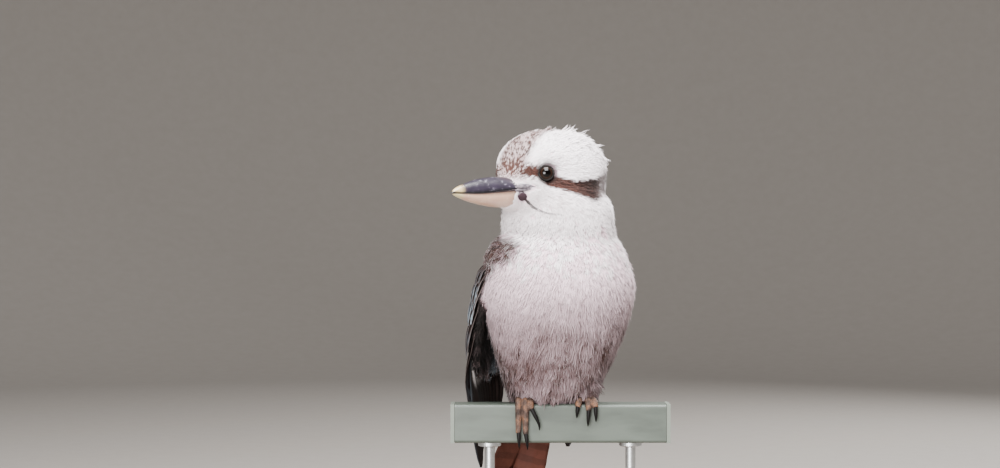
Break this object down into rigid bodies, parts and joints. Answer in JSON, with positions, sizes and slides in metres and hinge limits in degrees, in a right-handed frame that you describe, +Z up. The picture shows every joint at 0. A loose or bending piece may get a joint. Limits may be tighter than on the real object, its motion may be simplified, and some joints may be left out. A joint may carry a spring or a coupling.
{
  "type": "laughing kookaburra museum model",
  "caption": "Life-size laughing kookaburra perched upright on a short rail over a plain display stand, head turned to its right.",
  "frame": {"origin": "centre of the underside of the stand's base, on the surface that it stands on", "axes": "+Z up; the bird faces -Y and a little towards +X, and its bill points towards -X and -Y; the rail runs along X"},
  "size_m": [0.19, 0.1625, 0.3753],
  "materials": {
    "head_plumage": "soft, slightly shaggy feathers, white and pinkish brown with a brown ear band",
    "body_plumage": "fluffed white breast feathers with faint grey-brown mottling",
    "wing_feathers": "dark brown folded wing feathers, paler mottling on the coverts",
    "tail_feathers": "rufous tail feathers barred black and tipped white",
    "bill_dark": "smooth slate-black horn",
    "bill_pale": "smooth pale horn",
    "eye": "wet gloss, dark brown",
    "foot_skin": "scaly grey-brown skin",
    "claw": "black horn",
    "rail_paint": "grey-green gloss paint",
    "end_cap": "moulded, matte",
    "stand_wood": "stained and satin varnished",
    "stand_steel": "brushed"
  },
  "bodies": {
    "root": {"head": "head_plumage", "neck": "body_plumage", "torso": "body_plumage", "leg_left": "body_plumage", "leg_right": "body_plumage", "wing_left": "wing_feathers", "wing_right": "wing_feathers", "tail": "tail_feathers", "bill_upper": "bill_dark", "bill_lower": "bill_pale", "eye_left": "eye", "eye_right": "eye", "foot_left": "foot_skin", "foot_right": "foot_skin", "claw_left_outer": "claw", "claw_left_middle": "claw", "claw_left_inner": "claw", "claw_left_hind": "claw", "claw_right_outer": "claw", "claw_right_middle": "claw", "claw_right_inner": "claw", "claw_right_hind": "claw", "perch_rail": "rail_paint", "perch_cap_left": "end_cap", "perch_cap_right": "end_cap", "stand_base": "stand_wood", "stand_rod_left": "stand_steel", "stand_rod_right": "stand_steel"}
  },
  "joints": []
}
